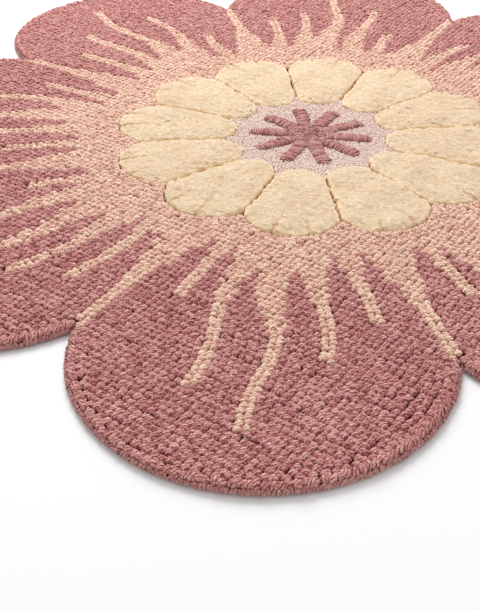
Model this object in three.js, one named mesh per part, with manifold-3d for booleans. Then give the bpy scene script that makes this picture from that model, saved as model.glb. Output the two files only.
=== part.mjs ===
// A round hand-tufted wool rug with a scalloped edge, lying flat.
// One cloth carries all the pile: a loop-pile field, a raised ring of cut-pile petals, a low loop eye
// and raised loop stamens. A yarn whipping is sewn round its edge.
// Millimetres, +Z up. The origin is the middle of the underside, and one scallop points along -Y.
import * as THREE from 'three';
import { mergeVertices } from 'three/addons/utils/BufferGeometryUtils.js';
import Module from 'manifold-3d';

// The outline: equal scallops on a circle, each an arc of a smaller circle
const RUG_RADIUS = 750;
const SCALLOPS = 8;
const SCALLOP_RADIUS = 220;
const SCALLOP_STEPS = 16;
const FRONT_ANGLE = -Math.PI / 2;

// The cut edge wanders a little, as one cut by hand does
const HAND_SWAY = [
  { waves: 2, share: 0.004, start_deg: 35 },
  { waves: 3, share: 0.004, start_deg: 80 },
  { waves: 7, share: 0.003, start_deg: 10 },
];

// The whipping round the edge, its clearance to the cloth inside it and between its lengths
const WHIPPING_WIDTH = 5;
const WHIPPING_HEIGHT = 8;
const WHIPPING_ROUND = 1.6;
const SEAT_GAP = 0.4;
const WHIPPING_END_GAP = 0.3;

// Heights of the pile above the surface that the rug lies on
const LOOP_PILE_TOP = 11.5;
const CUT_PILE_TOP = 15.5;
const EYE_PILE_TOP = 8.5;
const STAMEN_TOP = 12.5;
const PILE_ROOT = 5;
const EDGE_ROUND = 2.5;
const PILE_ROUND = 2;

// The ring of cut-pile petals, with a carved groove between each two. A petal ends in an arc
// towards the edge and in a narrower one towards the eye.
const PETALS = 12;
const PETAL_END_CENTRE = 232;
const PETAL_END_RADIUS = 68;
const PETAL_NECK_CENTRE = 152;
const GROOVE_WIDTH = 3;
const PETAL_STEPS = 9;

// The eye and its stamens: a round boss and short strokes that stand out from it
const EYE_RADIUS = 150;
const BOSS_RADIUS = 24;
const STAMENS = 10;
const STAMEN_START = 30;
const STAMEN_END = 84;
const STAMEN_WIDTH = 21;
const STAMEN_STEPS = 6;
const ROUND_STEPS = 24;

const ROSE_WOOL = 0xb0776f;
const ROSE_EDGE_YARN = 0xa56c66;

const wasm = await Module();
wasm.setup();

function handSway(angle) {
  return HAND_SWAY.reduce((sum, { waves, share, start_deg: start }) => (
    sum + share * Math.cos(waves * (angle - THREE.MathUtils.degToRad(start)))
  ), 1);
}

// The scalloped outline, drawn in from the rug's outer edge by an inset
function scallopedOutline(inset) {
  const halfPitch = Math.PI / SCALLOPS;
  const centre = RUG_RADIUS - SCALLOP_RADIUS;
  const radius = SCALLOP_RADIUS - inset;
  const notch = centre * Math.cos(halfPitch) + Math.sqrt(radius ** 2 - (centre * Math.sin(halfPitch)) ** 2);
  const reach = Math.atan2(notch * Math.sin(halfPitch), notch * Math.cos(halfPitch) - centre);
  const points = [];
  for (let scallop = 0; scallop < SCALLOPS; scallop += 1) {
    const axis = FRONT_ANGLE + 2 * halfPitch * scallop;
    for (let step = 0; step < SCALLOP_STEPS; step += 1) {
      const turn = reach * (2 * step / SCALLOP_STEPS - 1);
      const point = new THREE.Vector2(centre + radius * Math.cos(turn), radius * Math.sin(turn));
      point.rotateAround(new THREE.Vector2(), axis);
      points.push(point.multiplyScalar(handSway(point.angle())));
    }
  }
  return points;
}

// Points of an arc about a place on the X axis, between two angles
function arcPoints(centre, radius, from, to, steps) {
  const points = [];
  for (let step = 0; step <= steps; step += 1) {
    const turn = from + (to - from) * step / steps;
    points.push(new THREE.Vector2(centre + radius * Math.cos(turn), radius * Math.sin(turn)));
  }
  return points;
}

function turned(points, angle) {
  return points.map((point) => point.rotateAround(new THREE.Vector2(), angle));
}

function ringPoints(radius, steps) {
  return new THREE.Path().absarc(0, 0, radius, 0, 2 * Math.PI).getPoints(steps).slice(0, steps);
}

// A pad between two heights with its top and bottom edges rounded off inside the outline
function pad(outline, low, high, round, holes = []) {
  const shape = new THREE.Shape(outline);
  shape.holes = holes.map((hole) => new THREE.Path(hole));
  const geometry = new THREE.ExtrudeGeometry(shape, {
    depth: high - low - 2 * round,
    bevelEnabled: round > 0,
    bevelThickness: round,
    bevelSize: round,
    bevelOffset: -round,
    bevelSegments: 1,
  });
  return geometry.translate(0, 0, low + round);
}

function toSolid(geometry) {
  const bare = geometry.clone();
  bare.deleteAttribute('normal');
  bare.deleteAttribute('uv');
  const welded = mergeVertices(bare);
  return new wasm.Manifold(new wasm.Mesh({
    numProp: 3,
    vertProperties: Float32Array.from(welded.attributes.position.array),
    triVerts: Uint32Array.from(welded.index.array),
  }));
}

function fromSolid(solid) {
  const mesh = solid.getMesh();
  const geometry = new THREE.BufferGeometry();
  geometry.setAttribute('position', new THREE.BufferAttribute(mesh.vertProperties, 3));
  geometry.setIndex(new THREE.BufferAttribute(mesh.triVerts, 1));
  geometry.computeVertexNormals();
  return geometry;
}

function namedPiece(name, geometry, colour) {
  const material = new THREE.MeshStandardMaterial({ color: colour, roughness: 0.95, metalness: 0 });
  const mesh = new THREE.Mesh(geometry, material);
  mesh.name = name;
  return mesh;
}

// One petal fills its share of the ring, with straight sides along the grooves
function petalPad(index) {
  const halfPitch = Math.PI / PETALS;
  const square = Math.PI / 2;
  const endToGroove = PETAL_END_CENTRE * Math.sin(halfPitch) - GROOVE_WIDTH / 2;
  const neckRadius = PETAL_NECK_CENTRE * Math.sin(halfPitch) - GROOVE_WIDTH / 2;
  const sideTurn = square + halfPitch;
  const endTurn = sideTurn - Math.acos(endToGroove / PETAL_END_RADIUS);
  const outline = [
    ...arcPoints(PETAL_END_CENTRE, PETAL_END_RADIUS, -endTurn, endTurn, PETAL_STEPS),
    ...arcPoints(PETAL_NECK_CENTRE, neckRadius, sideTurn, 2 * Math.PI - sideTurn, PETAL_STEPS),
  ];
  return pad(turned(outline, FRONT_ANGLE + 2 * halfPitch * index), PILE_ROOT, CUT_PILE_TOP, PILE_ROUND);
}

function stamenPad(index) {
  const square = Math.PI / 2;
  const radius = STAMEN_WIDTH / 2;
  const outline = [
    ...arcPoints(STAMEN_END, radius, -square, square, STAMEN_STEPS),
    ...arcPoints(STAMEN_START, radius, square, 3 * square, STAMEN_STEPS),
  ];
  const angle = FRONT_ANGLE + 2 * Math.PI * (index + 0.5) / STAMENS;
  return pad(turned(outline, angle), PILE_ROOT, STAMEN_TOP, PILE_ROUND);
}

// The tufted cloth with its pile, cut low in the eye and built up in the petals and stamens
function tuftedRug() {
  const clothOutline = scallopedOutline(WHIPPING_WIDTH + SEAT_GAP);
  const eye = pad(ringPoints(EYE_RADIUS, ROUND_STEPS), EYE_PILE_TOP, CUT_PILE_TOP, 0);
  let rug = toSolid(pad(clothOutline, 0, LOOP_PILE_TOP, EDGE_ROUND)).subtract(toSolid(eye));
  for (let index = 0; index < PETALS; index += 1) {
    rug = rug.add(toSolid(petalPad(index)));
  }
  for (let index = 0; index < STAMENS; index += 1) {
    rug = rug.add(toSolid(stamenPad(index)));
  }
  rug = rug.add(toSolid(pad(ringPoints(BOSS_RADIUS, ROUND_STEPS), PILE_ROOT, STAMEN_TOP, PILE_ROUND)));
  return namedPiece('tufted_rug', fromSolid(rug), ROSE_WOOL);
}

// The wedge of floor that one scallop stands on, a little short of the notches on both sides
function scallopWedge(scallop) {
  const halfPitch = Math.PI / SCALLOPS;
  const tip = WHIPPING_END_GAP / 2 / Math.sin(halfPitch);
  const reach = 2 * RUG_RADIUS;
  const corner = new THREE.Vector2(tip + reach * Math.cos(halfPitch), reach * Math.sin(halfPitch));
  const outline = [new THREE.Vector2(tip, 0), new THREE.Vector2(corner.x, -corner.y), corner];
  return pad(turned(outline, FRONT_ANGLE + 2 * halfPitch * scallop), -1, WHIPPING_HEIGHT + 1, 0);
}

// The whipping is a band round the whole edge, in eight lengths whose ends meet in the notches
function edgeWhippings() {
  const band = toSolid(pad(
    scallopedOutline(0), 0, WHIPPING_HEIGHT, WHIPPING_ROUND, [scallopedOutline(WHIPPING_WIDTH)],
  ));
  const lengths = [];
  for (let scallop = 0; scallop < SCALLOPS; scallop += 1) {
    const length = band.intersect(toSolid(scallopWedge(scallop)));
    lengths.push(namedPiece(`edge_whipping_${scallop + 1}`, fromSolid(length), ROSE_EDGE_YARN));
  }
  return lengths;
}

const rug = new THREE.Group();
rug.add(tuftedRug(), ...edgeWhippings());

export default rug;
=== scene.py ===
import math

import bmesh
import bpy
import numpy as np
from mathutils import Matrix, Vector


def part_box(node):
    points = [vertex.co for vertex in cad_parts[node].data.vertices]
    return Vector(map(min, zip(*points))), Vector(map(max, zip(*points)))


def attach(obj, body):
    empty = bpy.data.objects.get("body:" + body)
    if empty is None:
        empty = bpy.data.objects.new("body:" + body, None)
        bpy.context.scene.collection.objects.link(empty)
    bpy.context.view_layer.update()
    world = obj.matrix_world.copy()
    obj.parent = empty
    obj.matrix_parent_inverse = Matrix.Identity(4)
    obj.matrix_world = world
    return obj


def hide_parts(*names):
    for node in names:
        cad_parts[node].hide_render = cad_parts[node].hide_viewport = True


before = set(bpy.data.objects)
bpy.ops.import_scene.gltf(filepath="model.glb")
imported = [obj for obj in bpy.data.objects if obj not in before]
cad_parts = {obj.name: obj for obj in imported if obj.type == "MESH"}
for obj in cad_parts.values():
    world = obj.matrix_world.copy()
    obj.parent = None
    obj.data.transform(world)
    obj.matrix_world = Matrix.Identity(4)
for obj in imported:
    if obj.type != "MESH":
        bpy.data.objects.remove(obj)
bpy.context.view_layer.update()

# The canvas
# A cotton canvas is tufted from behind and stiffened with latex. It is the one cloth that carries all
# the pile. It is cut by hand to eight scallops, and its plain weave shows on the underside.
RUG_RADIUS = 0.750
SCALLOPS = 8
SCALLOP_RADIUS = 0.220
SCALLOP_CENTRE = RUG_RADIUS - SCALLOP_RADIUS
HALF_SCALLOP = math.pi / SCALLOPS
FRONT_ANGLE = -math.pi / 2
HAND_SWAY = (
    {"waves": 2, "share": 0.004, "start_deg": 35},
    {"waves": 3, "share": 0.004, "start_deg": 80},
    {"waves": 7, "share": 0.003, "start_deg": 10},
)
CANVAS_INSET = 0.0045
CANVAS_TOP = 0.0034
CANVAS_ROUND = 0.0008
CANVAS_RINGS = 9
CANVAS_STEP = 0.012
CANVAS_THREAD = 0.0017
CANVAS_COTTON = (0.60, 0.52, 0.40, 1)
# Painted shade: the canvas is darker where its threads dip, between and beside them.
THREAD_GAP_SHADE = (0.47, 0.39, 0.28, 1)
# The rose and lilac yarn roots between the tufts, painted dark as the shade that falls there.
SHADED_ROSE_ROOTS = (0.16, 0.030, 0.026, 1), (0.34, 0.085, 0.072, 1)
SHADED_LILAC_ROOTS = (0.36, 0.26, 0.23, 1), (0.58, 0.46, 0.42, 1)
LILAC_ROOTS_REACH = 0.19


def notch_radius(inset):
    off_axis = SCALLOP_CENTRE * math.sin(HALF_SCALLOP)
    return SCALLOP_CENTRE * math.cos(HALF_SCALLOP) + math.sqrt((SCALLOP_RADIUS - inset) ** 2 - off_axis ** 2)


def notch_turn(inset):
    """How far a scallop's arc turns each way from its tip to the notch."""
    notch = notch_radius(inset)
    return math.atan2(notch * math.sin(HALF_SCALLOP), notch * math.cos(HALF_SCALLOP) - SCALLOP_CENTRE)


def turned(points, angle):
    cosine, sine = math.cos(angle), math.sin(angle)
    return points @ np.array([[cosine, sine], [-sine, cosine]])


def from_middle(points):
    """How far each plan point is from the rug's middle, and in which direction."""
    x, y = points.T
    return np.hypot(x, y), np.arctan2(y, x)


def sway_share(points):
    """How far the hand-cut edge wanders in the direction of each plan point, less towards the middle."""
    radius, heading = from_middle(points)
    wandering = sum(
        row["share"] * np.cos(row["waves"] * (heading - math.radians(row["start_deg"])))
        for row in HAND_SWAY
    )
    return (1 + wandering * np.clip(radius / RUG_RADIUS, 0, 1))[:, None]


def swayed(points):
    return points * sway_share(points)


def scallop_heading(scallop):
    return FRONT_ANGLE + 2 * HALF_SCALLOP * scallop


def scallop_arc(scallop, inset, reach, spacing):
    """Plan points of one scallop's edge, drawn in by inset and turning by reach each way from its tip."""
    radius = SCALLOP_RADIUS - inset
    turn = np.linspace(-reach, reach, max(3, round(2 * reach * radius / spacing)))
    arc = np.stack([SCALLOP_CENTRE + radius * np.cos(turn), radius * np.sin(turn)], 1)
    return turned(arc, scallop_heading(scallop))


def closed_edge(inset, spacing):
    reach = notch_turn(inset)
    arcs = [scallop_arc(scallop, inset, reach, spacing)[:-1] for scallop in range(SCALLOPS)]
    return swayed(np.concatenate(arcs))


def mesh_piece(name, vertices, faces, edges=()):
    mesh = bpy.data.meshes.new(name)
    mesh.from_pydata([tuple(v) for v in vertices], list(edges), list(faces))
    mesh.update()
    piece = bpy.data.objects.new(name, mesh)
    bpy.context.scene.collection.objects.link(piece)
    return piece


def make_node(tree, kind, inputs=None, **settings):
    """Adds a node. Each input is a value or the socket that it is linked from."""
    made = tree.nodes.new(kind)
    for name, value in settings.items():
        setattr(made, name, value)
    for key, value in (inputs or {}).items():
        if isinstance(value, bpy.types.NodeSocket):
            tree.links.new(value, made.inputs[key])
        else:
            made.inputs[key].default_value = value
    return made


def arithmetic(tree, operation, *values, clamp=False):
    inputs = dict(enumerate(values))
    return make_node(tree, "ShaderNodeMath", inputs, operation=operation, use_clamp=clamp).outputs[0]


def times(tree, first, second, clamp=False):
    return arithmetic(tree, "MULTIPLY", first, second, clamp=clamp)


def object_place(tree):
    return make_node(tree, "ShaderNodeTexCoord").outputs["Object"]


def noise(tree, place, scale, detail):
    inputs = {"Vector": place, "Scale": scale, "Detail": detail}
    return make_node(tree, "ShaderNodeTexNoise", inputs).outputs[0]


def dye_between(tree, share, first, second):
    return make_node(tree, "ShaderNodeMix", {0: share, 6: first, 7: second}, data_type="RGBA").outputs[2]


def number_between(tree, share, first, second):
    return make_node(tree, "ShaderNodeMix", {0: share, 2: first, 3: second}, data_type="FLOAT").outputs[0]


def start_material(name, roughness, sheen):
    material = bpy.data.materials.new(name)
    material.use_nodes = True
    shader = material.node_tree.nodes["Principled BSDF"]
    shader.inputs["Roughness"].default_value = roughness
    shader.inputs["Specular IOR Level"].default_value = 0.25
    shader.inputs["Sheen Weight"].default_value = sheen
    shader.inputs["Sheen Roughness"].default_value = 0.45
    return material, material.node_tree, shader


def finish_surface(tree, shader, colour, height, relief, strength):
    bump = make_node(tree, "ShaderNodeBump", {"Height": height, "Distance": relief, "Strength": strength})
    tree.links.new(colour, shader.inputs["Base Color"])
    tree.links.new(bump.outputs[0], shader.inputs["Normal"])


def canvas_weave():
    """Plain weave: warp and weft threads pass over each other in turn."""
    material, tree, shader = start_material("canvas weave", 0.9, 0.1)
    place = object_place(tree)
    axes = make_node(tree, "ShaderNodeSeparateXYZ", {0: place}).outputs
    around = [times(tree, axes[i], math.pi / CANVAS_THREAD) for i in (0, 1)]
    warp, weft = (arithmetic(tree, "ABSOLUTE", arithmetic(tree, "SINE", turn)) for turn in around)
    halves = [arithmetic(tree, "SINE", times(tree, turn, 0.5)) for turn in around]
    warp_up = arithmetic(tree, "GREATER_THAN", times(tree, *halves), 0.0)
    thread = number_between(tree, warp_up, weft, warp)
    height = arithmetic(tree, "MULTIPLY_ADD", noise(tree, place, 260, 4), 0.6, thread)
    # The canvas is painted darker where its threads dip, between and beside them: painted shade.
    shade = dye_between(tree, times(tree, height, 0.75), THREAD_GAP_SHADE, CANVAS_COTTON)
    finish_surface(tree, shader, shade, height, 0.0006, 0.7)
    return material


def tufting_ground():
    """The face of the canvas between the tufts: the roots of the yarn around it, painted dark as the shade
    down there.
    """
    material, tree, shader = start_material("tufting ground", 1.0, 0.0)
    place = object_place(tree)
    roots = noise(tree, place, 420, 3)
    # Painted shade: the roots' colours are dark, as the shade down between the tufts.
    rose, lilac = (dye_between(tree, roots, *shades) for shades in (SHADED_ROSE_ROOTS, SHADED_LILAC_ROOTS))
    reach = make_node(tree, "ShaderNodeVectorMath", {0: place}, operation="LENGTH").outputs["Value"]
    in_eye = arithmetic(tree, "LESS_THAN", reach, LILAC_ROOTS_REACH)
    finish_surface(tree, shader, dye_between(tree, in_eye, rose, lilac), roots, 0.001, 1.0)
    return material


def canvas_sheet():
    """A closed flat sheet: its edge is rounded, and rings of faces fill both sides to the middle."""
    edge = closed_edge(CANVAS_INSET, CANVAS_STEP)
    count = len(edge)
    shares = [ring / CANVAS_RINGS for ring in range(1, CANVAS_RINGS)]
    drawn_in = 1 - CANVAS_ROUND / RUG_RADIUS
    rings = [(share, CANVAS_TOP) for share in [*shares, drawn_in]]
    rings += [(1, CANVAS_TOP - CANVAS_ROUND), (1, CANVAS_ROUND)]
    rings += [(share, 0) for share in [drawn_in, *reversed(shares)]]
    vertices = [(x, y, z) for share, z in rings for x, y in edge * share]
    faces = []
    for ring in range(len(rings) - 1):
        for i in range(count):
            j = (i + 1) % count
            low, high = ring * count, (ring + 1) * count
            faces.append((low + j, low + i, high + i, high + j))
    last, middle = len(vertices) - count, len(vertices)
    vertices += [(0, 0, CANVAS_TOP), (0, 0, 0)]
    for i in range(count):
        j = (i + 1) % count
        faces += [(middle, i, j), (middle + 1, last + j, last + i)]
    return mesh_piece("rug_canvas", vertices, faces)


canvas = canvas_sheet()
canvas.data.materials.append(canvas_weave())
canvas.data.materials.append(tufting_ground())
for face in canvas.data.polygons:
    face.material_index = int(face.normal.z > 0.5)
canvas.data.shade_smooth()
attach(canvas, "root")
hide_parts("tufted_rug")

# The edge whipping
# A rose wool yarn is sewn over the cut edge all the way round, stitch beside stitch, with a slight
# slant. Each stitch goes over the edge from the face to the underside.
STITCH_PITCH = 0.00245
STITCH_HALF_WIDTH = 0.0019
STITCH_HALF_THICKNESS = 0.0009
STITCH_PATH = (
    {"out": -0.0052, "height": 0.0058},
    {"out": -0.0030, "height": 0.0071},
    {"out": -0.0012, "height": 0.0062},
    {"out": -0.0006, "height": 0.0043},
    {"out": -0.0018, "height": 0.0026},
    {"out": -0.0046, "height": 0.0021},
)
STITCH_SLANT = 0.0012
YARN_SIDES = 4
EDGE_ROSE = (0.651, 0.286, 0.262, 1)


def node_group(name, kind, inputs, outputs):
    """A node group with named sockets that is still empty, and the sockets that its inputs come in by."""
    tree = bpy.data.node_groups.new(name, kind)
    for way, sockets in (("INPUT", inputs), ("OUTPUT", outputs)):
        for socket, form in sockets.items():
            tree.interface.new_socket(socket, in_out=way, socket_type="NodeSocket" + form)
    return tree, make_node(tree, "NodeGroupInput").outputs


def on_vector(tree, operation, vector, value):
    """Scales a vector, or adds, takes away or multiplies by another vector."""
    inputs = {0: vector, "Scale" if operation == "SCALE" else 1: value}
    return make_node(tree, "ShaderNodeVectorMath", inputs, operation=operation).outputs[0]


def combined(tree, x=0.0, y=0.0, z=0.0):
    return make_node(tree, "ShaderNodeCombineXYZ", {0: x, 1: y, 2: z}).outputs[0]


def shaded(tree, *parts):
    """The shade that several parts make together. Each is a socket, its gain and its base."""
    shade = 1.0
    for part, gain, base in parts:
        shade = times(tree, shade, arithmetic(tree, "MULTIPLY_ADD", part, gain, base))
    return shade


def twisted_wool():
    """The look of a plied wool yarn, whose own coordinates run along it, across it and up from its root.
    Ply grooves slant over it and loose fibres streak it. Shade is painted on it: it is darker in the grooves
    and towards the root, and redder where it is darker."""
    tree, given = node_group("twisted wool", "ShaderNodeTree", {
        "Dye": "Color", "Yarn": "Vector", "Seed": "Float", "Turns": "Float", "Slant": "Float",
        "Root Shade": "Float", "Contrast": "Float",
    }, {"Colour": "Color", "Height": "Float"})
    along, across, up = make_node(tree, "ShaderNodeSeparateXYZ", {0: given["Yarn"]}).outputs
    place = object_place(tree)

    across_plies = arithmetic(tree, "ADD", along, times(tree, across, given["Slant"]))
    turning = arithmetic(tree, "MULTIPLY_ADD", across_plies, given["Turns"], given["Seed"])
    wave = arithmetic(tree, "SINE", times(tree, turning, math.pi))
    ply = arithmetic(tree, "POWER", arithmetic(tree, "ABSOLUTE", wave), 0.55)
    streaked = times(tree, across_plies, 3.4)
    own_start = times(tree, given["Seed"], 61)
    strands = noise(tree, combined(tree, streaked, across, own_start), 1.3, 2)
    fuzz = noise(tree, place, 640, 3)
    dyeing = noise(tree, place, 6, 2)

    # The ply grooves are painted darker here: painted shade.
    shade = shaded(
        tree, (given["Seed"], 0.20, 0.88), (ply, 0.60, 0.52), (strands, 1.70, 0.12), (fuzz, 1.60, 0.20),
        (dyeing, 0.24, 0.88),
    )
    shade = arithmetic(tree, "POWER", shade, given["Contrast"])
    shade = arithmetic(tree, "SMOOTH_MIN", shade, 1.35, 0.6)
    # Painted shade: the yarn is darker towards its root.
    risen = arithmetic(tree, "DIVIDE", up, 0.72, clamp=True)
    shade = times(tree, shade, number_between(tree, risen, given["Root Shade"], 1.0))
    # Painted shade: the darker the yarn, the redder it is painted.
    redder_in_shade = arithmetic(tree, "POWER", shade, 1.05)
    tinted = on_vector(tree, "MULTIPLY", given["Dye"], combined(tree, 1.0, redder_in_shade, redder_in_shade))
    height = arithmetic(tree, "MULTIPLY_ADD", strands, 0.9, ply)
    height = arithmetic(tree, "MULTIPLY_ADD", fuzz, 0.7, height)
    colour = on_vector(tree, "SCALE", tinted, shade)
    make_node(tree, "NodeGroupOutput", {"Colour": colour, "Height": height})
    return tree


wool = twisted_wool()


def attribute(tree, name, output):
    return make_node(tree, "ShaderNodeAttribute", attribute_name=name).outputs[output]


def wool_material(name, dye, turns, slant, root, contrast, relief, sheen):
    """A yarn's material. dye and contrast are values, or functions that give a socket of the tree.
    root is the share of its colour that is left at its root: painted shade.
    """
    material, tree, shader = start_material(name, 0.88, sheen)
    inputs = {
        "Yarn": attribute(tree, "yarn", "Vector"), "Seed": attribute(tree, "seed", "Fac"),
        "Dye": dye(tree) if callable(dye) else dye, "Turns": turns, "Slant": slant, "Root Shade": root,
        "Contrast": contrast(tree) if callable(contrast) else contrast,
    }
    yarn = make_node(tree, "ShaderNodeGroup", inputs, node_tree=wool).outputs
    finish_surface(tree, shader, yarn["Colour"], yarn["Height"], relief, 0.8)
    return material


def yarn_rows():
    """Sets a yarn form on every point of the input mesh. The points hold the direction of their row, how
    far the form leans, how large it is and how high it stands. Each form strays a little from its place."""
    tree, given = node_group("yarn rows", "GeometryNodeTree", {
        "Geometry": "Geometry", "Form": "Object", "Size": "Vector", "Stray": "Vector", "Turn": "Vector",
        "Size Change": "Float", "Wander": "Float", "Wander Scale": "Float", "Rough": "Float",
        "Seed": "Int", "Wool": "Material",
    }, {"Geometry": "Geometry"})

    def made(kind, inputs=None, output=0, **settings):
        return make_node(tree, kind, inputs, **settings).outputs[output]

    def stored(name):
        return made("GeometryNodeInputNamedAttribute", {"Name": name}, "Attribute", data_type="FLOAT")

    def random_vector(limits, salt):
        seed = arithmetic(tree, "ADD", given["Seed"], float(salt))
        inputs = {0: on_vector(tree, "SCALE", limits, -1.0), 1: limits, "Seed": seed}
        return made("FunctionNodeRandomValue", inputs, data_type="FLOAT_VECTOR")

    place = made("GeometryNodeInputPosition")
    along = made("FunctionNodeEulerToRotation", {0: combined(tree, z=stored("heading"))})
    flowing = made("ShaderNodeTexNoise", {
        "Vector": place, "W": stored("row"), "Scale": given["Wander Scale"], "Detail": 1.0,
    }, noise_dimensions="4D")
    sideways = times(tree, arithmetic(tree, "SUBTRACT", flowing, 0.5), given["Wander"])
    drift = combined(tree, y=sideways, z=stored("lift"))
    strayed = on_vector(tree, "ADD", drift, random_vector(given["Stray"], 1))
    offset = made("FunctionNodeRotateVector", {"Vector": strayed, "Rotation": along})
    points = made("GeometryNodeMeshToPoints", {"Mesh": given["Geometry"]})
    moved = made("GeometryNodeSetPosition", {"Geometry": points, "Offset": offset})
    tipped = on_vector(tree, "ADD", combined(tree, stored("lean")), random_vector(given["Turn"], 2))
    local = made("FunctionNodeEulerToRotation", {0: tipped})
    rotation = made(
        "FunctionNodeRotateRotation", {"Rotation": along, "Rotate By": local}, rotation_space="LOCAL"
    )
    change = combined(tree, given["Size Change"], given["Size Change"], given["Size Change"])
    grown = on_vector(tree, "ADD", random_vector(change, 3), (1, 1, 1))
    sized = on_vector(tree, "MULTIPLY", given["Size"], grown)
    placed = made("GeometryNodeInstanceOnPoints", {
        "Points": moved, "Rotation": rotation, "Scale": on_vector(tree, "SCALE", sized, stored("size")),
        "Instance": made("GeometryNodeObjectInfo", {"Object": given["Form"]}, "Geometry"),
    })
    seed = made("FunctionNodeRandomValue", {"Seed": given["Seed"]}, 1, data_type="FLOAT")
    for name, value, kind in (("seed", seed, "FLOAT"), ("place", place, "FLOAT_VECTOR")):
        inputs = {"Geometry": placed, "Name": name, "Value": value}
        placed = made("GeometryNodeStoreNamedAttribute", inputs, data_type=kind, domain="INSTANCE")
    whole = made("GeometryNodeRealizeInstances", {"Geometry": placed})
    inputs = {"Vector": place, "Scale": 300.0, "Detail": 0.0}
    lumps = made("ShaderNodeTexNoise", inputs, "Color", noise_dimensions="3D")
    dents = on_vector(tree, "SCALE", on_vector(tree, "SUBTRACT", lumps, (0.5, 0.5, 0.5)), given["Rough"])
    uneven = made("GeometryNodeSetPosition", {"Geometry": whole, "Offset": dents})
    worn = made("GeometryNodeSetMaterial", {"Geometry": uneven, "Material": given["Wool"]})
    make_node(tree, "NodeGroupOutput", {0: worn})
    return tree


row_maker = yarn_rows()


def store(piece, name, values):
    """Keeps a number or a vector for each vertex of the piece under this name."""
    kind, key = ("FLOAT", "value") if np.ndim(values) == 1 else ("FLOAT_VECTOR", "vector")
    column = np.ravel(values).astype(np.float32)
    piece.data.attributes.new(name, kind, "POINT").data.foreach_set(key, column)


def row_guide(name, rows):
    """A mesh of points, one for each stitch or loop. A row is its plan points with its lift, lean and
    size, and a size can also be one number for each point. Its forms face along it, or along a heading,
    and swing at random to either side of that."""
    dice = np.random.default_rng(len(rows))
    vertices, values = [], {"heading": [], "lift": [], "lean": [], "size": [], "row": []}
    for number, row in enumerate(rows):
        points = row["points"]
        vertices += [(x, y, 0) for x, y in points]
        if "heading" not in row:
            ends = np.concatenate([points[-1:], points, points[:1]]) if row.get("closed") else points
            step = np.gradient(ends, axis=0)
            step = step[1:-1] if row.get("closed") else step
            row = {**row, "heading": np.arctan2(step[:, 1], step[:, 0])}
        swing = row.get("swing", 0.0) * dice.uniform(-1, 1, len(points))
        row = {**row, "heading": row["heading"] + swing, "row": number * 0.37}
        for key, column in values.items():
            column += np.broadcast_to(row[key], len(points)).tolist()
    guide = mesh_piece(name, vertices, ())
    for key, column in values.items():
        store(guide, key, column)
    return guide


def grow(name, rows, form, inputs):
    """Runs the row maker over the rows and keeps the result as one plain mesh."""
    piece = row_guide(name, rows)
    modifier = piece.modifiers.new("rows", "NODES")
    modifier.node_group = row_maker
    given = {"Form": form, **inputs}
    for socket in row_maker.interface.items_tree:
        if socket.in_out == "INPUT" and socket.name in given:
            modifier[socket.identifier] = given[socket.name]
    graph = bpy.context.evaluated_depsgraph_get()
    mesh = bpy.data.meshes.new_from_object(
        piece.evaluated_get(graph), preserve_all_data_layers=True, depsgraph=graph
    )
    piece.modifiers.remove(modifier)
    guide = piece.data
    piece.data = mesh
    bpy.data.meshes.remove(guide)
    mesh.shade_smooth()
    return piece


def own_coordinates(form, places):
    """Stores on each vertex where it is on the yarn: along it, across it and up from the root."""
    store(form, "yarn", places)
    form.data.shade_smooth()


def stitch_form():
    """One stitch: a flattened yarn that follows the path over the edge, with closed ends."""
    path = np.array([(-row["out"], row["height"]) for row in STITCH_PATH])
    heading = np.gradient(path, axis=0)
    heading /= np.linalg.norm(heading, axis=1)[:, None]
    vertices, faces, own = [], [], []
    steps = len(path)
    for step in range(steps):
        shift = STITCH_SLANT * (path[step, 1] / path[:, 1].max() - 0.5)
        for side in range(YARN_SIDES):
            turn = 2 * math.pi * side / YARN_SIDES
            wide = STITCH_HALF_WIDTH * math.cos(turn) + shift
            thick = STITCH_HALF_THICKNESS * math.sin(turn)
            y = path[step, 0] - heading[step, 1] * thick
            vertices.append((wide, y, path[step, 1] + heading[step, 0] * thick))
            own.append((step / (steps - 1) * 2 - 1, math.cos(turn), 1))
    for low in range(0, (steps - 1) * YARN_SIDES, YARN_SIDES):
        for side in range(YARN_SIDES):
            after = (side + 1) % YARN_SIDES
            faces.append((low + side, low + after, low + YARN_SIDES + after, low + YARN_SIDES + side))
    faces.append(tuple(reversed(range(YARN_SIDES))))
    faces.append(tuple(range((steps - 1) * YARN_SIDES, steps * YARN_SIDES)))
    form = mesh_piece("stitch_form", vertices, faces)
    own_coordinates(form, own)
    return form


edge_wool = wool_material(
    "rose edge yarn", EDGE_ROSE, turns=3.0, slant=0.5, root=1.0, contrast=1.3, relief=0.0006, sheen=0.35
)
stitch = stitch_form()
edge_row = {"points": closed_edge(0, STITCH_PITCH), "closed": True, "lift": 0.0, "lean": 0.0, "size": 1.0}
whipping = grow("edge_whipping_yarn", [edge_row], stitch, {
    "Size": (1, 1, 1), "Stray": (0.0008, 0.0007, 0.0003), "Turn": (0.08, 0.0, 0.34),
    "Size Change": 0.10, "Wander": 0.0008, "Wander Scale": 9.0, "Rough": 0.0014, "Seed": 5, "Wool": edge_wool,
})
bpy.data.objects.remove(stitch)
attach(whipping, "root")
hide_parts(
    "edge_whipping_1", "edge_whipping_2", "edge_whipping_3", "edge_whipping_4",
    "edge_whipping_5", "edge_whipping_6", "edge_whipping_7", "edge_whipping_8",
)

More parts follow.
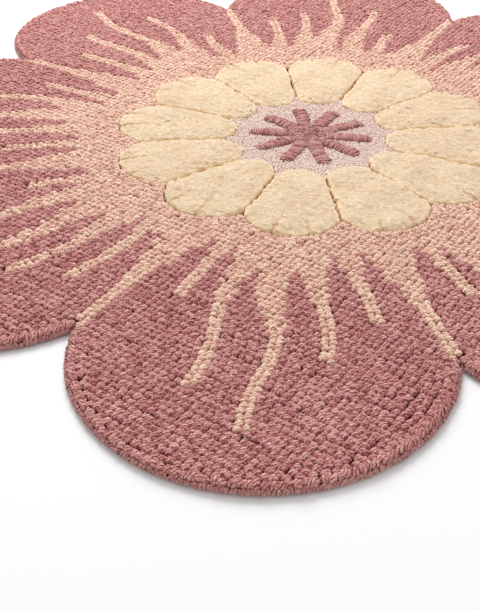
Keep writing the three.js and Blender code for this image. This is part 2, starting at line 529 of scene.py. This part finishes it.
# The loop pile
# Dusty-rose and peach-beige wool loops are tufted in straight rows that cross the whole rug on one
# slant. One row follows the edge and one the petals. Beige yarn makes a halo round the petals. Slender
# rays run out of it, tufted lengthways as two rows side by side, and one of them lies on each seam.
LOOP_PITCH = 0.0086
ROW_PITCH = 0.0090
ROW_HEADING = math.radians(-26)
BANDS = 6
LOOP_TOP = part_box("tufted_rug")[1][2] - 0.004
LOOP_SINK = CANVAS_TOP - 0.0006
LOOP_SIZE = (0.0104, 0.0093, LOOP_TOP - LOOP_SINK)
EDGE_ROW = {"inset": 0.0098, "lean": 0.24, "size": 1.05}
EDGE_ROW_DEPTH = 0.0154
PETALS = 12
HALF_PETAL = math.pi / PETALS
PETAL_END_CENTRE = 0.232
PETAL_END_RADIUS = 0.068
PETAL_REACH = PETAL_END_CENTRE + PETAL_END_RADIUS
PETAL_NECK_CENTRE = 0.152
PETAL_GROOVE = 0.0016
PETAL_NECK_RADIUS = PETAL_NECK_CENTRE * math.sin(HALF_PETAL) - PETAL_GROOVE / 2
PETAL_ROW_GAP = 0.0042
FIELD_GAP = 0.0112
CLOSING_LOOPS = 4
LOOP_COVER = 0.0068
BORDER_COVER = 0.0056
BARE_SPOT_CELL = 0.0015
HALO = 0.036
HALO_RIPPLE = 0.012
HALO_TONE = 0.98
RAYS = (
    {"turn_deg": 0.5, "reach": 0.640, "root": 0.034, "sway": 0.009},
    {"turn_deg": 7.4, "reach": 0.545, "root": 0.028, "sway": 0.006},
    {"turn_deg": -6.8, "reach": 0.585, "root": 0.030, "sway": 0.007},
    {"turn_deg": 14.4, "reach": 0.492, "root": 0.024, "sway": 0.004},
    {"turn_deg": -13.6, "reach": 0.455, "root": 0.022, "sway": 0.004},
    {"turn_deg": 22.5, "reach": 0.566, "root": 0.044, "sway": 0.0},
)
RAY_BENDS = 26
RAY_START = 0.25
RAY_TAPER_SHARE = 0.66
RAY_HALF_WIDTH = 0.0086
TWO_ROWS_WIDE = RAY_HALF_WIDTH + 0.0012
RAY_ROW = 0.0043
RAY_CLEARANCE = 0.0126
SEAM_CLEARANCE = 0.0040
ROSE = (0.651, 0.291, 0.265, 1)
BEIGE = (0.900, 0.603, 0.458, 1)


def folded(angle, half):
    """The angle from the nearest of the directions that are 2 * half apart, one of them to the front."""
    return (angle - FRONT_ANGLE + half) % (2 * half) - half


def in_wedge(points, half, start=0.0):
    """How far each plan point lies along and off the middle line of the wedge of 2 * half that it is in."""
    radius, heading = from_middle(points)
    angle = folded(heading + start, half)
    return radius * np.cos(angle), np.abs(radius * np.sin(angle))


def petal_depth(points):
    """How far each plan point lies inside the nearest petal's outline, or minus its distance outside."""
    x, y = in_wedge(points, HALF_PETAL)
    sine, cosine = math.sin(HALF_PETAL), math.cos(HALF_PETAL)
    side = x * sine - y * cosine - PETAL_GROOVE / 2
    end = np.where(x > PETAL_END_CENTRE, PETAL_END_RADIUS - np.hypot(x - PETAL_END_CENTRE, y), side)
    neck = PETAL_NECK_RADIUS - np.hypot(x - PETAL_NECK_CENTRE, y)
    return np.where(x * cosine + y * sine > PETAL_NECK_CENTRE * cosine, np.minimum(side, end), neck)


def edge_depth(points):
    """How far each plan point lies inside its scallop's arc, as far as the arc comes in along the seams."""
    x, y = in_wedge(points, HALF_SCALLOP)
    turn = np.arctan2(y, x - SCALLOP_CENTRE)
    to_arc = SCALLOP_RADIUS - np.hypot(x - SCALLOP_CENTRE, y)
    return np.where(turn < math.pi / 2 + HALF_SCALLOP, to_arc, SCALLOP_RADIUS)


def ray_half_width(ray, radius):
    """A ray's half width where it leaves the halo and on to where it is two rows wide."""
    along = np.clip((radius - PETAL_REACH) / (RAY_TAPER_SHARE * (ray["reach"] - PETAL_REACH)), 0, 1)
    return RAY_HALF_WIDTH + (ray["root"] - RAY_HALF_WIDTH) * (1 - along) ** 1.3


def ray_reach(ray, scallop):
    """The rays of one scallop differ a little in length from the next one's, but those on seams don't."""
    return ray["reach"] * (1 + (0.05 * np.cos(2.3 * scallop + ray["turn_deg"]) if ray["sway"] else 0))


def ray_heading(ray, scallop):
    return scallop_heading(scallop) + math.radians(ray["turn_deg"])


def ray_bend(ray, scallop, radius):
    return ray["sway"] * np.sin(radius * RAY_BENDS + ray["turn_deg"] + scallop)


def ray_line(ray, scallop, radius, aside):
    """Plan points of a line that runs along a swaying ray, to one side of its middle, at these radii."""
    across = np.broadcast_to(ray_bend(ray, scallop, radius) + aside, radius.shape)
    return turned(np.stack([radius, across], 1), ray_heading(ray, scallop))


def in_rays(points):
    """How far each plan point lies inside the nearest ray, and how far outside the rows along the rays."""
    inside, clear = np.full(len(points), -1.0), np.full(len(points), 1.0)
    for scallop in range(SCALLOPS):
        for ray in RAYS:
            x, y = turned(points, -ray_heading(ray, scallop)).T
            off = np.abs(y - ray_bend(ray, scallop, x))
            reach = ray_reach(ray, scallop)
            width = ray_half_width(ray, x)
            inside = np.maximum(inside, np.where((x > RAY_START) & (x < reach), width - off, -1))
            tufted = (width < TWO_ROWS_WIDE) & (x > RAY_START) & (x < reach + 0.0030)
            clear = np.minimum(clear, np.where(tufted, off - RAY_CLEARANCE, 1))
    return inside, clear


def even_steps(points, pitch):
    """The same line with a whole number of equal steps that are close to the pitch."""
    lengths = np.concatenate([[0], np.cumsum(np.hypot(*np.diff(points, axis=0).T))])
    steps = max(1, round(lengths[-1] / pitch))
    wanted = np.linspace(0, lengths[-1], steps + 1)
    return np.stack([np.interp(wanted, lengths, points[:, i]) for i in (0, 1)], 1)


def loop_row(points, **given):
    return {"points": points, "lift": LOOP_SINK, "lean": 0.0, "size": 1.0, **given}


def stretches(points, kept, pitch, **given):
    """The unbroken stretches of a line of plan points that are kept, as rows of evenly set loops."""
    rows, run = [], []
    for point, keep in zip(points, kept):
        if keep:
            run.append(point)
        if run and not keep:
            rows.append(run)
            run = []
    rows.append(run)
    return [loop_row(even_steps(np.array(row), pitch), **given) for row in rows if len(row) > 1]


def arc_round(radius, start, end, spacing):
    turn = np.linspace(start, end, max(3, round(abs(end - start) * radius / spacing)))
    return np.stack([radius * np.cos(turn), radius * np.sin(turn)], 1)


def edge_rows():
    """The rows that follow the edge. They stop short of the ray that lies on each seam."""
    rows = []
    for scallop in range(SCALLOPS):
        arc = scallop_arc(scallop, EDGE_ROW["inset"], math.pi / 2 + HALF_SCALLOP, 0.001)
        radius, heading = from_middle(arc)
        heading = folded(heading - 2 * HALF_SCALLOP * scallop, math.pi)
        seam_depth = radius * np.sin(HALF_SCALLOP - np.abs(heading))
        past_seam_ray = radius > RAYS[-1]["reach"]
        kept = seam_depth > np.where(past_seam_ray, SEAM_CLEARANCE, RAY_CLEARANCE - 0.0006)
        rows += stretches(
            swayed(arc), kept, LOOP_PITCH * 0.92, lean=EDGE_ROW["lean"], size=EDGE_ROW["size"], swing=0.7
        )
    return rows


def petal_end_row():
    """The row that follows the petals' outer ends."""
    lengths = np.linspace(PETAL_END_CENTRE, PETAL_REACH + 0.02, 400)
    hugging = np.array([
        point * lengths[np.argmax(petal_depth(lengths[:, None] * point) < -PETAL_ROW_GAP)]
        for point in arc_round(1.0, 0, 2 * math.pi, 0.006)
    ])
    return stretches(swayed(hugging), [True] * len(hugging), LOOP_PITCH * 0.96)


def ray_rows():
    """Two rows along each ray from where it is two rows wide, one of them a loop shorter."""
    rows = []
    for scallop in range(SCALLOPS):
        for ray in RAYS:
            reach = ray_reach(ray, scallop)
            radius = np.arange(0.30, reach - 0.004, 0.002)
            tufted = ray_half_width(ray, radius) < TWO_ROWS_WIDE
            for aside in (-RAY_ROW, RAY_ROW):
                line = ray_line(ray, scallop, radius, aside)
                longer = aside * math.cos(3 * scallop + ray["turn_deg"]) > 0
                kept = tufted & (radius < reach - (0.0 if longer else 0.010)) & (petal_depth(line) < -0.009)
                rows += stretches(swayed(line), kept, LOOP_PITCH, heading=ROW_HEADING)
    return rows


def closed_up(start, end):
    """Places along a row. They keep to common columns, and only the last few close up to its ends."""
    columns = np.arange(math.ceil(start / LOOP_PITCH), math.floor(end / LOOP_PITCH) + 1) * LOOP_PITCH
    if len(columns) <= 2 * CLOSING_LOOPS:
        return np.linspace(start, end, max(2, 1 + round((end - start) / LOOP_PITCH)))
    before = CLOSING_LOOPS + round((columns[0] - start) / LOOP_PITCH)
    after = CLOSING_LOOPS + round((end - columns[-1]) / LOOP_PITCH)
    return np.concatenate([
        np.linspace(start, columns[CLOSING_LOOPS - 1], before), columns[CLOSING_LOOPS:-CLOSING_LOOPS],
        np.linspace(columns[-CLOSING_LOOPS], end, after),
    ])


def slanting(along, number):
    """Plan points at these places along one of the field's rows."""
    return turned(np.stack([along, np.full(len(along), number * ROW_PITCH)], 1), ROW_HEADING)


def field_rows(band):
    """The straight rows of one band of the field, wherever they are clear of all the rows above."""
    rows = []
    reach = math.ceil(RUG_RADIUS / ROW_PITCH)
    along = np.arange(-RUG_RADIUS, RUG_RADIUS, LOOP_PITCH / 10)
    for number in range(-reach, reach + 1):
        if (number + reach) * BANDS // (2 * reach + 1) != band:
            continue
        line = slanting(along, number)
        even = line / sway_share(line)
        kept = (petal_depth(even) < -FIELD_GAP) & (edge_depth(even) > EDGE_ROW_DEPTH)
        kept &= (from_middle(even)[0] > PETAL_END_CENTRE) & (in_rays(even)[1] > 0)
        change = np.flatnonzero(np.diff(np.concatenate([[0], kept.astype(int), [0]])))
        for first, last in zip(change[::2], change[1::2] - 1):
            if along[last] - along[first] > LOOP_PITCH / 4:
                rows.append(loop_row(slanting(closed_up(along[first], along[last]), number)))
    return rows


def filling_loops(rows, cover, border):
    """Single loops, tufted afterwards wherever the rows leave a bare spot between them, or only where
    they do so along the border."""
    cell = BARE_SPOT_CELL
    half = round(1.05 * RUG_RADIUS / cell)
    ticks = np.arange(-half, half + 1) * cell
    spots = np.stack(np.meshgrid(ticks, ticks), -1).reshape(-1, 2)
    even = spots / sway_share(spots)
    to_edge, in_petal, radius = edge_depth(even), petal_depth(even), from_middle(even)[0]
    bare = (to_edge > EDGE_ROW["inset"] + 0.003) & (in_petal < -PETAL_ROW_GAP - 0.003)
    bare &= (radius > PETAL_END_CENTRE) & (radius < RUG_RADIUS)
    if border:
        bare &= (to_edge < 0.028) | (in_petal > -0.020)
    bare = bare.reshape(len(ticks), len(ticks))
    reach = math.ceil(cover / cell)
    steps = np.arange(-reach, reach + 1) * cell
    uncovered = np.hypot(steps[:, None], steps) > cover

    def around(spot):
        column, line = (int(round(value / cell)) + half for value in spot)
        return slice(line - reach, line + reach + 1), slice(column - reach, column + reach + 1)

    for spot in np.concatenate([row["points"] for row in rows]):
        bare[around(spot)] &= uncovered
    filled = []
    for line, column in np.argwhere(bare):
        spot = np.array([ticks[column], ticks[line]])
        near = np.argwhere(bare[around(spot)])
        if bare[line, column] and len(near) > 3:
            filled.append(spot + (near.mean(0)[::-1] - reach) * cell)
            bare[around(filled[-1])] &= uncovered
    return loop_row(np.array(filled), heading=ROW_HEADING)


def beige_share(points):
    """1 where the pattern asks for beige yarn, a little less in the halo, and 0 for rose."""
    points = points / sway_share(points)
    heading = from_middle(points)[1]
    ripple = HALO_RIPPLE * np.cos(SCALLOPS * 5 * (heading - FRONT_ANGLE) + 2 * np.sin(3 * heading))
    halo = HALO + ripple + petal_depth(points)
    share = np.where(in_rays(points)[0] > 0, 1.0, 0.0)
    return np.where(halo > 0, HALO_TONE, share)


def loop_form():
    """One loop from outside: a broad flat-topped grain of yarn on a narrower foot. x runs along its row."""
    crown = [(0.50, 0.14), (0.24, 0.56), (-0.34, 0.60), (-0.50, -0.12), (-0.26, -0.58), (0.32, -0.60)]
    shoulder = [(0.80, 0.22), (0.52, 0.90), (-0.62, 0.92), (-0.80, -0.20), (-0.54, -0.92), (0.60, -0.90)]
    belly = [(1.0, 0.10), (0.80, 0.98), (-0.78, 1.0), (-1.0, -0.08), (-0.80, -1.0), (0.80, -0.98)]
    foot = [(0.80, 0.70), (-0.80, 0.70), (-0.80, -0.70), (0.80, -0.70)]
    rings = ((crown, 1.0), (shoulder, 0.84), (belly, 0.55), (foot, 0.0))
    vertices = [(x / 2, y / 2, z) for ring, z in rings for x, y in ring]
    faces = [tuple(range(6))]
    for low in (0, 6):
        faces += [(low + i, low + i + 6, low + (i + 1) % 6 + 6, low + (i + 1) % 6) for i in range(6)]
    faces += [
        (12, 18, 13), (13, 18, 19, 14), (14, 19, 15), (15, 19, 20), (15, 20, 16), (16, 20, 21, 17),
        (17, 21, 12), (12, 21, 18), (18, 21, 20, 19),
    ]
    form = mesh_piece("loop_form", vertices, faces)
    own_coordinates(form, np.array(vertices) * (2, 2, 1))
    return form


def field_dye(tree):
    return dye_between(tree, attribute(tree, "beige", "Fac"), ROSE, BEIGE)


def field_contrast(tree):
    """The paler the yarn, the less its plies stand out."""
    return arithmetic(tree, "MULTIPLY_ADD", attribute(tree, "beige", "Fac"), -0.65, 1.35)


def dye_loops(piece):
    """Gives every loop one yarn, by where the loop's root is."""
    places = np.empty(len(piece.data.vertices) * 3, np.float32)
    piece.data.attributes["place"].data.foreach_get("vector", places)
    store(piece, "beige", beige_share(places.reshape(-1, 3)[:, :2].astype(float)))


# The loops are painted much darker at their roots, as shade.
field_wool = wool_material(
    "rose and beige loops", field_dye, turns=1.2, slant=-0.62, root=0.15, contrast=field_contrast,
    relief=0.0012, sheen=0.25,
)
loop = loop_form()
row_groups = [edge_rows() + petal_end_row() + ray_rows(), *(field_rows(band) for band in range(BANDS))]
row_groups[0].append(filling_loops(sum(row_groups, []), LOOP_COVER, False))
row_groups[0].append(filling_loops(sum(row_groups, []), BORDER_COVER, True))
for number, rows in enumerate(row_groups):
    field = grow(f"loop_pile_{number}" if number else "loop_pile_round_edges", rows, loop, {
        "Size": LOOP_SIZE, "Stray": (0.0010, 0.0006, 0.0005), "Turn": (0.17, 0.15, 0.24), "Size Change": 0.09,
        "Wander": 0.0032, "Wander Scale": 24.0, "Rough": 0.0024, "Seed": 60 + number, "Wool": field_wool,
    })
    dye_loops(field)
    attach(field, "root")
    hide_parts("tufted_rug")

# The cut-pile petals
# Twelve raised petals of cream wool stand in a ring round the eye. Their pile is cut to one height,
# sheared round at the edges, and carved with a groove between each two and short veins inside them.
PETAL_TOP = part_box("tufted_rug")[1][2]
PETAL_ROOT = CANVAS_TOP - 0.0006
PETAL_SHOULDER = 0.0032
PETAL_COLUMNS = 72
PETAL_STRIPS = 50
PETAL_EDGE_STRAY = 0.0010
RIM_STEPS = (0.0, 0.06, 0.25, 0.60)
PETAL_WAVES = (
    {"wavelength": 0.060, "height": 0.00070},
    {"wavelength": 0.018, "height": 0.00034},
    {"wavelength": 0.0075, "height": 0.00024},
)
VEIN_DIP = 0.0018
VEIN_HALF_WIDTH = 0.0024
VEINS = (
    {"start": 0.303, "end": 0.240, "from": 0.022, "to": 0.011},
    {"start": 0.300, "end": 0.262, "from": -0.029, "to": -0.021},
)
PETAL_DOME = 0.0028
CREAM = (0.680, 0.496, 0.318, 1)
# Painted shade: the brown of the veins and of the line along the petals' foot.
CARVED_SHADE_BROWN = (0.40, 0.20, 0.085, 1)


def ripples(points, wavelength, seed):
    """A smooth random unevenness over the plan, of about one unit either way."""
    dice = np.random.default_rng(seed)
    heading = dice.uniform(0, 2 * math.pi, 28)
    number = 2 * math.pi / wavelength * dice.uniform(0.75, 1.25, 28)
    waves = points[:, :1] * (number * np.cos(heading)) + points[:, 1:] * (number * np.sin(heading))
    return np.cos(waves + dice.uniform(0, 2 * math.pi, 28)).sum(1) * math.sqrt(2 / 28)


def petal_half_width(x):
    side = (x * math.sin(HALF_PETAL) - PETAL_GROOVE / 2) / math.cos(HALF_PETAL)
    end = np.sqrt(np.maximum(PETAL_END_RADIUS ** 2 - (x - PETAL_END_CENTRE) ** 2, 0))
    neck = np.sqrt(np.maximum(PETAL_NECK_RADIUS ** 2 - (x - PETAL_NECK_CENTRE) ** 2, 0))
    at_neck = x < PETAL_NECK_CENTRE - PETAL_NECK_RADIUS * math.sin(HALF_PETAL)
    return np.where(at_neck, neck, np.where(x > PETAL_END_CENTRE, np.minimum(side, end), side))


def petal_grid():
    """Places along and across a petal: an even grid, with a few finer steps at the outline."""
    start, end = PETAL_NECK_CENTRE - PETAL_NECK_RADIUS, PETAL_REACH
    steps = np.array(RIM_STEPS)
    fine = PETAL_SHOULDER * steps
    inner = np.linspace(start + PETAL_SHOULDER, end - PETAL_SHOULDER, PETAL_COLUMNS)
    x = np.concatenate([start + fine, inner, end - fine[::-1]])[:, None]
    half = petal_half_width(x)
    rim = np.minimum(PETAL_SHOULDER, half / 2)
    y = np.concatenate(
        [rim * steps - half, (half - rim) * np.linspace(-1, 1, PETAL_STRIPS), half - rim * steps[::-1]], 1
    )
    return x + 0 * y, y


def vein_dip(x, y, swap):
    """How far the pile dips along the veins, from 0 to 1, at places along and across a petal."""
    deepest = np.zeros(len(x))
    for vein in VEINS:
        along = (x - vein["start"]) / (vein["end"] - vein["start"])
        centre = swap * (vein["from"] + (vein["to"] - vein["from"]) * along)
        fade = np.clip(1.2 - along, 0, 1) * (along > -0.05)
        deepest = np.maximum(deepest, fade * np.exp(-((y - centre) / VEIN_HALF_WIDTH) ** 2))
    return deepest


def petal_surface(petal):
    """Vertices, faces and own places of one petal: a top down to the root all round, and a flat foot."""
    x, y = petal_grid()
    wide = y.shape[1]
    flat = np.stack([x.ravel(), y.ravel()], 1)
    plan = turned(flat, FRONT_ANGLE + 2 * HALF_PETAL * petal)
    depth = np.maximum(petal_depth(plan), 0)
    share = np.clip(depth / PETAL_SHOULDER, 0, 1)
    rise = np.sqrt(1 - (1 - share) ** 2)
    swap = 1 if petal % 2 else -1
    low_at_eye = 0.0018 * np.clip(1 - (flat[:, 0] - x.min()) / 0.06, 0, 1)
    low_at_edge = PETAL_DOME * (1 - np.clip(depth / 0.030, 0, 1)) ** 2
    top = PETAL_TOP - VEIN_DIP * vein_dip(flat[:, 0], flat[:, 1], swap) - low_at_eye - low_at_edge
    for number, wave in enumerate(PETAL_WAVES):
        top = top + wave["height"] * (ripples(plan, wave["wavelength"], 300 + number) - 0.6)
    height = PETAL_ROOT + (top - PETAL_ROOT) * rise
    stray = np.column_stack([ripples(plan, 0.013, 310), ripples(plan, 0.013, 311)])
    vertices = np.column_stack([swayed(plan + PETAL_EDGE_STRAY * stray), height])
    faces = [
        (i * wide + j, (i + 1) * wide + j, (i + 1) * wide + j + 1, i * wide + j + 1)
        for i in range(len(x) - 1) for j in range(wide - 1)
    ]
    left = [i * wide for i in range(len(x))]
    right = [i * wide + wide - 1 for i in reversed(range(len(x)))]
    faces.append(tuple(reversed(left + right)))
    return vertices, faces, np.column_stack([flat[:, 0], swap * flat[:, 1], depth])


def faded(tree, distance, reach):
    """1 at no distance, down to 0 at reach and beyond."""
    return arithmetic(tree, "SUBTRACT", 1.0, arithmetic(tree, "DIVIDE", distance, reach), clamp=True)


def carved_lines(tree, own, waver):
    """A mask of the thin line along each vein that is painted brown as shade, which breaks off and wavers."""
    mask = 0.0
    across = arithmetic(tree, "ADD", own[1], waver)
    for vein in VEINS:
        from_start = arithmetic(tree, "SUBTRACT", own[0], vein["start"])
        along = arithmetic(tree, "DIVIDE", from_start, vein["end"] - vein["start"])
        centre = arithmetic(tree, "MULTIPLY_ADD", along, vein["to"] - vein["from"], vein["from"])
        off = arithmetic(tree, "ABSOLUTE", arithmetic(tree, "SUBTRACT", across, centre))
        fade = arithmetic(tree, "SUBTRACT", 1.1, along, clamp=True)
        begun = arithmetic(tree, "GREATER_THAN", along, -0.05)
        line = times(tree, faded(tree, off, 0.0030), times(tree, fade, begun))
        mask = arithmetic(tree, "MAXIMUM", mask, line)
    return times(tree, mask, 0.8)


def cut_pile():
    """Cut tufts: short wavy fibres lie along the rows. Painted shade makes them brown in the veins and along
    the foot, and warmer in the veins and where darker; painted light makes the sheared edge paler and warmer.
    """
    material, tree, shader = start_material("cream cut pile", 0.95, 0.3)
    place = object_place(tree)
    own = make_node(tree, "ShaderNodeSeparateXYZ", {0: attribute(tree, "petal", "Vector")}).outputs
    bend = make_node(tree, "ShaderNodeTexNoise", {"Vector": place, "Scale": 120, "Detail": 2}).outputs
    curled = on_vector(tree, "ADD", place, on_vector(tree, "SCALE", bend["Color"], 0.010))
    laid = make_node(tree, "ShaderNodeMapping", {
        "Vector": curled, "Rotation": (0, 0, -ROW_HEADING), "Scale": (190, 520, 400),
    }).outputs[0]
    fibres = noise(tree, laid, 1, 3)
    fine = noise(tree, place, 1100, 2)
    brushed = noise(tree, place, 26, 3)
    waver = times(tree, arithmetic(tree, "SUBTRACT", bend[0], 0.5), 0.0035)
    vein = carved_lines(tree, own, waver)
    # Painted shade: the veins and the foot of the petals' edge are painted brown.
    carved = arithmetic(tree, "MAXIMUM", vein, faded(tree, own[2], 0.0012))
    torn = arithmetic(tree, "MULTIPLY_ADD", fibres, 2.4, -0.35)
    ragged = times(tree, carved, torn, clamp=True)
    # Painted light: the sheared edge is painted paler.
    sheared_edge_light = faded(tree, own[2], 0.0060)
    tone = shaded(
        tree, (fibres, 0.95, 0.55), (fine, 0.46, 0.78), (brushed, 0.24, 0.88), (sheared_edge_light, 0.36, 1.0)
    )
    # Painted shade: the edge and the veins are painted warmer, and darker tones warmer still.
    warm_shade = arithmetic(tree, "MAXIMUM", sheared_edge_light, times(tree, vein, 1.9))
    green = arithmetic(tree, "MULTIPLY_ADD", warm_shade, -0.15, 1.0)
    blue = arithmetic(tree, "MULTIPLY_ADD", warm_shade, -0.30, 1.0)
    green = times(tree, arithmetic(tree, "POWER", tone, 0.6), green)
    blue = times(tree, tone, blue)
    dye = dye_between(tree, ragged, CREAM, CARVED_SHADE_BROWN)
    dye = on_vector(tree, "MULTIPLY", dye, combined(tree, 1.0, green, blue))
    colour = on_vector(tree, "SCALE", dye, tone)
    height = times(tree, fibres, 1.2)
    height = arithmetic(tree, "SUBTRACT", height, times(tree, vein, 0.8))
    finish_surface(tree, shader, colour, height, 0.0012, 0.8)
    return material


def all_petals():
    vertices, faces, places = [], [], []
    for petal in range(PETALS):
        own_vertices, own_faces, own_places = petal_surface(petal)
        start = len(vertices)
        vertices += own_vertices.tolist()
        faces += [tuple(start + i for i in face) for face in own_faces]
        places.append(own_places)
    piece = mesh_piece("cut_pile_petals", vertices, faces)
    store(piece, "petal", np.concatenate(places))
    form = bmesh.new()
    form.from_mesh(piece.data)
    bmesh.ops.remove_doubles(form, verts=form.verts, dist=0.00002)
    form.to_mesh(piece.data)
    form.free()
    piece.data.shade_smooth()
    return piece


petals = all_petals()
petals.data.materials.append(cut_pile())
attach(petals, "root")
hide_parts("tufted_rug")

# The eye and its stamens
# Fine pale lilac-grey loops, lower than the field, fill the eye and the clefts between the petals'
# inner ends. A round boss and ten short strokes of rose loops stand up out of it. A stroke is one row
# of broad loops that lie across it like ribs.
EYE_LOOP_PITCH = 0.0050
EYE_ROW_PITCH = 0.0042
EYE_LOOP_SIZE = (0.0060, 0.0046, 0.0056)
EYE_REACH = 0.165
BOSS_RADIUS = 0.024
STAMENS = 10
HALF_STAMEN = math.pi / STAMENS
STAMEN_START = 0.030
STAMEN_END = 0.084
STAMEN_RADIUS = 0.0105
RIB_PITCH = 0.0058
RIB_SIZE = (0.0084, 0.0224, 0.0092)
BOSS_LOOP_SIZE = (0.0072, 0.0078, 0.0094)
BOSS_LOOP_PITCH = 0.0060
LILAC = (0.80, 0.64, 0.56, 1)
STAMEN_ROSE = (0.530, 0.243, 0.220, 1)


def stamen_depth(points):
    """How far each plan point lies inside the boss or the nearest stamen, or minus its distance."""
    x, y = in_wedge(points, HALF_STAMEN, HALF_STAMEN)
    stroke = STAMEN_RADIUS - np.hypot(x - np.clip(x, STAMEN_START, STAMEN_END), y)
    return np.maximum(BOSS_RADIUS - from_middle(points)[0], stroke)


def eye_rows():
    rows, radius = [], BOSS_RADIUS
    while radius < EYE_REACH:
        ring = arc_round(radius, 0, 2 * math.pi, 0.0012)
        kept = (petal_depth(ring) < -0.0012) & (stamen_depth(ring) < -0.0012)
        rows += stretches(swayed(ring), kept, EYE_LOOP_PITCH)
        radius += EYE_ROW_PITCH
    return rows


def stamen_rows():
    """One row of ribs down the middle of each stroke, smaller towards its round end."""
    rows = []
    for stamen in range(STAMENS):
        heading = FRONT_ANGLE + HALF_STAMEN * (2 * stamen + 1)
        out = np.arange(BOSS_RADIUS - 0.003, STAMEN_END + STAMEN_RADIUS - 0.0025, RIB_PITCH)
        line = turned(np.stack([out, 0.0012 * np.sin(out * 90 + stamen)], 1), heading)
        tip = np.clip((out - STAMEN_END) / STAMEN_RADIUS, 0, 0.8)
        rows.append(loop_row(line, size=np.sqrt(1 - tip ** 2)))
    return rows


def boss_rows():
    rows = []
    for ring in range(4):
        radius = max(BOSS_RADIUS - (ring + 0.3) * BOSS_LOOP_SIZE[1] * 0.86, 0.002)
        circle = arc_round(radius, 0, 2 * math.pi, 0.0015)
        rows += stretches(circle, [True] * len(circle), BOSS_LOOP_PITCH)
    return rows


# The eye's loops are painted a little darker at their roots, as shade.
eye_wool = wool_material(
    "lilac loops", LILAC, turns=1.2, slant=0.35, root=0.86, contrast=0.5, relief=0.0003, sheen=0.2
)
eye = grow("eye_loops", eye_rows(), loop, {
    "Size": EYE_LOOP_SIZE, "Stray": (0.0008, 0.0004, 0.0002), "Turn": (0.12, 0.08, 0.30), "Size Change": 0.10,
    "Wander": 0.0022, "Wander Scale": 30.0, "Rough": 0.0008, "Seed": 80, "Wool": eye_wool,
})
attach(eye, "root")
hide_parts("tufted_rug")

# The stamens' loops are painted darker at their roots, as shade.
stamen_wool = wool_material(
    "rose stamen loops", STAMEN_ROSE, turns=1.4, slant=0.35, root=0.30, contrast=1.3, relief=0.0009,
    sheen=0.25,
)
for name, rows, size, seed in (
    ("stamen_ribs", stamen_rows(), RIB_SIZE, 90),
    ("boss_loops", boss_rows(), BOSS_LOOP_SIZE, 91),
):
    piece = grow(name, rows, loop, {
        "Size": size, "Stray": (0.0006, 0.0006, 0.0003), "Turn": (0.10, 0.08, 0.20), "Size Change": 0.08,
        "Wander": 0.0006, "Wander Scale": 30.0, "Rough": 0.0016, "Seed": seed, "Wool": stamen_wool,
    })
    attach(piece, "root")
    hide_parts("tufted_rug")
bpy.data.objects.remove(loop)


# The studio
# A plain near-white floor, a wide soft light high behind the rug and an even white sky.
FLOOR_HALF = 25.0
FLOOR_LEVEL = -0.0003
FLOOR_SHADE = (0.93, 0.93, 0.93, 1)
LIGHT_PLACE = (-0.8, 1.9, 2.0)
LIGHT_WIDTH = 1.9
LIGHT_POWER = 86
SKY_STRENGTH = 0.66


def studio_floor():
    corners = [(-1, -1), (1, -1), (1, 1), (-1, 1)]
    places = [(x * FLOOR_HALF, y * FLOOR_HALF, FLOOR_LEVEL) for x, y in corners]
    floor = mesh_piece("floor", places, [(0, 1, 2, 3)])
    material, tree, shader = start_material("studio floor", 0.9, 0.0)
    shader.inputs["Base Color"].default_value = FLOOR_SHADE
    floor.data.materials.append(material)
    return floor


def soft_light():
    """A round light that is turned to the rug's middle."""
    data = bpy.data.lights.new("overhead", "AREA")
    data.shape = "DISK"
    data.size = LIGHT_WIDTH
    data.energy = LIGHT_POWER
    light = bpy.data.objects.new("overhead", data)
    light.location = LIGHT_PLACE
    light.rotation_euler = (-Vector(LIGHT_PLACE)).to_track_quat("-Z", "Y").to_euler()
    bpy.context.scene.collection.objects.link(light)


studio_floor()
soft_light()
world = bpy.data.worlds.new("studio")
bpy.context.scene.world = world
world.use_nodes = True
sky = world.node_tree.nodes["Background"]
sky.inputs["Color"].default_value = (1, 1, 1, 1)
sky.inputs["Strength"].default_value = SKY_STRENGTH
bpy.context.scene.view_settings.view_transform = "Standard"

# The camera
# It looks down over the front scallop from a little to its left, as low as the photo's.
VIEW_TURN = math.radians(9)
VIEW_PITCH = math.radians(36)
CAMERA_PLACE = (-0.108, -1.393, 0.698)
FOCAL_PIXELS = 998
PICTURE_HEIGHT = 610
SENSOR = 36.0

camera_data = bpy.data.cameras.new("camera")
camera_data.sensor_width = SENSOR
camera_data.lens = SENSOR * FOCAL_PIXELS / PICTURE_HEIGHT
camera = bpy.data.objects.new("camera", camera_data)
side, back, height = CAMERA_PLACE
camera.location = (
    side * math.cos(VIEW_TURN) - back * math.sin(VIEW_TURN),
    side * math.sin(VIEW_TURN) + back * math.cos(VIEW_TURN),
    height,
)
camera.rotation_euler = (math.pi / 2 - VIEW_PITCH, 0, VIEW_TURN)
bpy.context.scene.collection.objects.link(camera)
bpy.context.scene.camera = camera
